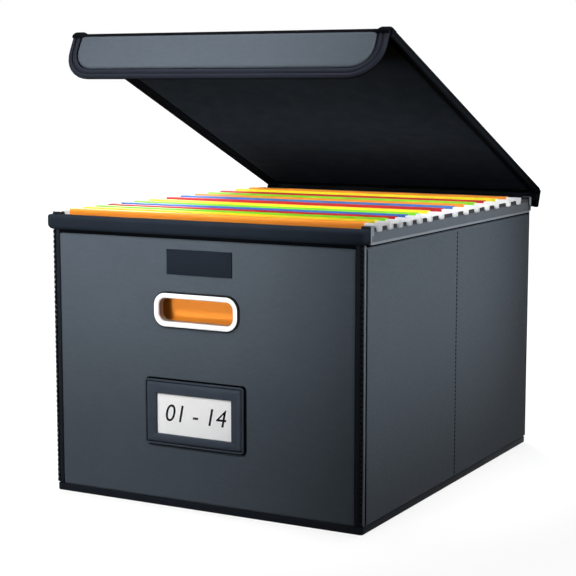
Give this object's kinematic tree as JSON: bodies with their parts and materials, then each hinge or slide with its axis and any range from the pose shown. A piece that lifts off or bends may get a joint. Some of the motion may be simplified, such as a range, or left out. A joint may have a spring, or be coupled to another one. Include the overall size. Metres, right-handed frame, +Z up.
{
  "type": "portable file box",
  "caption": "Lidded leatherette box with side rails that carry hanging letter folders; rear-hinged lid with a front flap, finger holes and a label holder.",
  "frame": {"origin": "centre of the flat underside, on the surface that the box stands on", "axes": "+Z up, +Y to the rear where the lid is hinged, -Y to the front with the label holder, +X to the right seen from the front"},
  "size_m": [0.3266, 0.4205, 0.4198],
  "materials": {
    "wall_leatherette": "embossed pebble-grain leatherette over board, dark slate, satin",
    "frame_leatherette": "padded, bevelled leatherette frame with a stitched edge",
    "lid_leatherette": "embossed pebble-grain leatherette over board, slate, satin",
    "lid_trim": "smooth leatherette binding, near black, satin",
    "rim_trim": "smooth leatherette band, near black, satin",
    "base_trim": "smooth leatherette over board, near black, satin",
    "piping": "rolled leatherette bead, satin",
    "felt": "short-pile felt, black, matte",
    "lid_core": "pressed board, hidden inside the lid",
    "insert_board": "pressed board covered with black felt, matte",
    "rail_plastic": "moulded grey plastic, satin",
    "handle_plastic": "moulded white plastic, gloss",
    "label_card": "plain white card with printed numbers, matte",
    "hanger_steel": "white coated steel strip, satin",
    "folder_orange": "dyed card, matte",
    "folder_yellow": "dyed card, matte",
    "folder_green": "dyed card, matte",
    "folder_red": "dyed card, matte",
    "folder_blue": "dyed card, matte"
  },
  "bodies": {
    "box": {"bottom_panel": "base_trim", "base_insert": "insert_board", "front_panel": "wall_leatherette", "rear_panel": "wall_leatherette", "right_side_front": "wall_leatherette", "right_side_rear": "wall_leatherette", "left_side_front": "wall_leatherette", "left_side_rear": "wall_leatherette", "front_corner_piping": "piping", "rear_corner_piping": "piping", "front_rim_band": "rim_trim", "rear_rim_band": "rim_trim", "right_rail": "rail_plastic", "left_rail": "rail_plastic", "front_handle_ring": "handle_plastic", "front_handle_backing": "handle_plastic", "rear_handle_ring": "handle_plastic", "rear_handle_backing": "handle_plastic", "label_frame": "frame_leatherette", "front_patch": "rim_trim", "hinge_strip": "lid_trim"},
    "lid": {"lid_cover": "lid_leatherette", "lid_board": "lid_core", "lid_lining": "felt", "lid_right_lip": "lid_trim", "lid_left_lip": "lid_trim", "lid_rear_skirt": "lid_trim"},
    "flap": {"front_flap": "lid_leatherette", "flap_binding": "lid_trim"},
    "label_card": {"label_card": "label_card"},
    "folder_01": {"folder_01_sheet": "folder_orange", "folder_01_hangers": "hanger_steel"},
    "folder_02": {"folder_02_sheet": "folder_yellow", "folder_02_hangers": "hanger_steel"},
    "folder_03": {"folder_03_sheet": "folder_green", "folder_03_hangers": "hanger_steel"},
    "folder_04": {"folder_04_sheet": "folder_red", "folder_04_hangers": "hanger_steel"},
    "folder_05": {"folder_05_sheet": "folder_blue", "folder_05_hangers": "hanger_steel"},
    "folder_06": {"folder_06_sheet": "folder_green", "folder_06_hangers": "hanger_steel"},
    "folder_07": {"folder_07_sheet": "folder_yellow", "folder_07_hangers": "hanger_steel"},
    "folder_08": {"folder_08_sheet": "folder_red", "folder_08_hangers": "hanger_steel"},
    "folder_09": {"folder_09_sheet": "folder_blue", "folder_09_hangers": "hanger_steel"},
    "folder_10": {"folder_10_sheet": "folder_orange", "folder_10_hangers": "hanger_steel"},
    "folder_11": {"folder_11_sheet": "folder_green", "folder_11_hangers": "hanger_steel"},
    "folder_12": {"folder_12_sheet": "folder_red", "folder_12_hangers": "hanger_steel"},
    "folder_13": {"folder_13_sheet": "folder_yellow", "folder_13_hangers": "hanger_steel"},
    "folder_14": {"folder_14_sheet": "folder_orange", "folder_14_hangers": "hanger_steel"}
  },
  "joints": [
    {"name": "lid_hinge", "type": "hinge", "parent": "box", "child": "lid", "pos_m": [0, 0.2001, 0.2214], "axis": [-1, 0, 0], "range_deg": [-22.67, 87.33]},
    {"name": "flap_hinge", "type": "hinge", "parent": "lid", "child": "flap", "pos_m": [0, -0.15324, 0.41797], "axis": [-1, 0, 0], "range_deg": [-2.4, 80]},
    {"name": "card_slide", "type": "slide", "parent": "box", "child": "label_card", "axis": [0, 0, 1], "range_m": [0, 0.042]},
    {"name": "folder_01_slide", "type": "slide", "parent": "box", "child": "folder_01", "axis": [0, 1, 0], "range_m": [-0.0045, 0.0145]},
    {"name": "folder_02_slide", "type": "slide", "parent": "box", "child": "folder_02", "axis": [0, 1, 0], "range_m": [-0.0145, 0.0125]},
    {"name": "folder_03_slide", "type": "slide", "parent": "box", "child": "folder_03", "axis": [0, 1, 0], "range_m": [-0.0125, 0.0125]},
    {"name": "folder_04_slide", "type": "slide", "parent": "box", "child": "folder_04", "axis": [0, 1, 0], "range_m": [-0.0125, 0.0145]},
    {"name": "folder_05_slide", "type": "slide", "parent": "box", "child": "folder_05", "axis": [0, 1, 0], "range_m": [-0.0145, 0.015]},
    {"name": "folder_06_slide", "type": "slide", "parent": "box", "child": "folder_06", "axis": [0, 1, 0], "range_m": [-0.015, 0.019]},
    {"name": "folder_07_slide", "type": "slide", "parent": "box", "child": "folder_07", "axis": [0, 1, 0], "range_m": [-0.019, 0.0251]},
    {"name": "folder_08_slide", "type": "slide", "parent": "box", "child": "folder_08", "axis": [0, 1, 0], "range_m": [-0.0251, 0.0191]},
    {"name": "folder_09_slide", "type": "slide", "parent": "box", "child": "folder_09", "axis": [0, 1, 0], "range_m": [-0.0191, 0.0201]},
    {"name": "folder_10_slide", "type": "slide", "parent": "box", "child": "folder_10", "axis": [0, 1, 0], "range_m": [-0.0201, 0.0191]},
    {"name": "folder_11_slide", "type": "slide", "parent": "box", "child": "folder_11", "axis": [0, 1, 0], "range_m": [-0.0191, 0.018]},
    {"name": "folder_12_slide", "type": "slide", "parent": "box", "child": "folder_12", "axis": [0, 1, 0], "range_m": [-0.018, 0.025]},
    {"name": "folder_13_slide", "type": "slide", "parent": "box", "child": "folder_13", "axis": [0, 1, 0], "range_m": [-0.025, 0.022]},
    {"name": "folder_14_slide", "type": "slide", "parent": "box", "child": "folder_14", "axis": [0, 1, 0], "range_m": [-0.022, 0.0311]}
  ]
}
